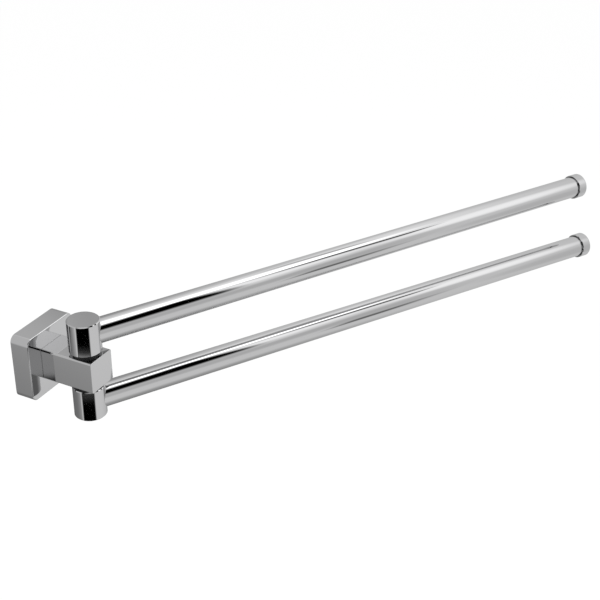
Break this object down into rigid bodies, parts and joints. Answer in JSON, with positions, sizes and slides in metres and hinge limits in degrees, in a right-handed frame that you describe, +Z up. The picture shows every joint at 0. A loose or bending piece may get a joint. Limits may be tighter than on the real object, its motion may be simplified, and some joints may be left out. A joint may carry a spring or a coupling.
{
  "type": "swing arm towel bar",
  "caption": "Wall-mounted towel bar: a square arm on a square rosette carries round bars that swing on one vertical spindle, above and below the arm.",
  "frame": {"origin": "centre of the back of the wall rosette, on the wall, midway between the two wall screw holes", "axes": "+Y into the wall, so the object stands out towards -Y; +Z up along the spindle; +X along the wall, on the side that the bars are swung to"},
  "size_m": [0.3958, 0.26, 0.067],
  "materials": {
    "polished_chrome": "mirror polished chrome plate",
    "plain_steel": "turned stainless steel",
    "black_steel": "black oxide on steel",
    "cast_zinc": "bare die-cast zinc, dull grey",
    "natural_nylon": "natural nylon, satin",
    "black_nylon": "black nylon, satin",
    "turned_brass": "turned brass",
    "black_rubber": "moulded rubber ring"
  },
  "bodies": {
    "wall_mount": {"wall_bracket": "cast_zinc", "rosette": "polished_chrome", "rosette_set_screw": "black_steel", "arm": "polished_chrome", "arm_bolt": "black_steel", "arm_bolt_washer": "plain_steel", "arm_locating_pins": "plain_steel", "spindle": "plain_steel", "spindle_set_screw": "black_steel", "upper_thrust_washer": "black_nylon", "upper_disc_spring": "plain_steel", "upper_pivot_washer": "plain_steel", "upper_pivot_screw": "plain_steel", "lower_thrust_washer": "black_nylon", "lower_disc_spring": "plain_steel", "lower_pivot_washer": "plain_steel", "lower_pivot_screw": "plain_steel"},
    "upper_swing": {"upper_bush": "natural_nylon", "upper_hub": "polished_chrome", "upper_hub_cap": "polished_chrome", "upper_bar_spigot": "turned_brass", "upper_bar": "polished_chrome", "upper_cap_ring": "black_rubber", "upper_end_cap": "polished_chrome"},
    "lower_swing": {"lower_bush": "natural_nylon", "lower_hub": "polished_chrome", "lower_hub_cap": "polished_chrome", "lower_bar_spigot": "turned_brass", "lower_bar": "polished_chrome", "lower_cap_ring": "black_rubber", "lower_end_cap": "polished_chrome"}
  },
  "joints": [
    {"name": "upper_bar_swing", "type": "hinge", "parent": "wall_mount", "child": "upper_swing", "pos_m": [0, -0.039, 0.023], "axis": [0, 0, 1], "range_deg": [-151.3, 28.7]},
    {"name": "lower_bar_swing", "type": "hinge", "parent": "wall_mount", "child": "lower_swing", "pos_m": [0, -0.039, -0.023], "axis": [0, 0, 1], "range_deg": [-149.6, 30.4]}
  ]
}
